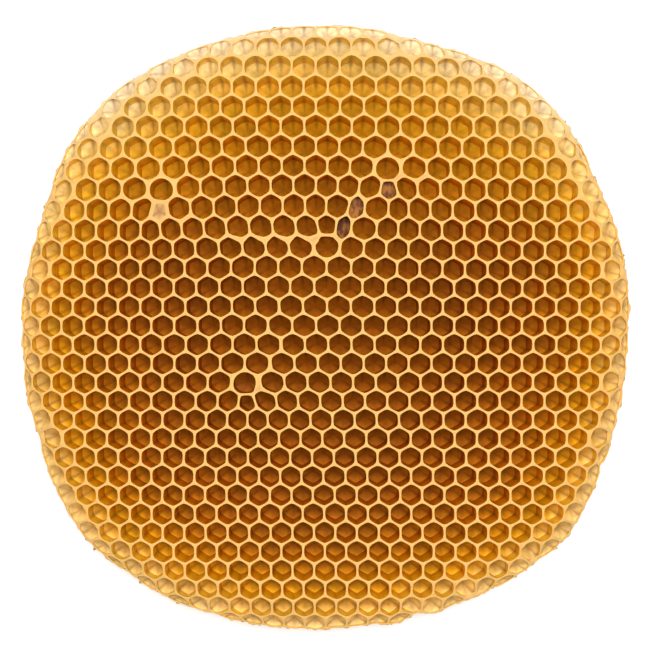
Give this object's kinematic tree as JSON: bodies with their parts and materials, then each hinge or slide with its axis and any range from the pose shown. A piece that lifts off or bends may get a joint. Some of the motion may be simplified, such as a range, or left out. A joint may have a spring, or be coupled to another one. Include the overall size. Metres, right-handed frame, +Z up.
{
  "type": "honeycomb piece",
  "caption": "Rounded-square piece of natural wax honeycomb, lying flat, with open hexagonal cells on both faces and a thin curved margin.",
  "frame": {"origin": "under the middle of the comb, on the surface it lies on", "axes": "+Z up through the thickness; +Y towards the top edge of the comb as it hung; +X to the right seen from above"},
  "size_m": [0.1444, 0.1436, 0.024],
  "materials": {
    "wax": "natural beeswax: pale yellow rims, amber to brown cells, soft satin sheen"
  },
  "bodies": {
    "root": {"comb": "wax"}
  },
  "joints": []
}
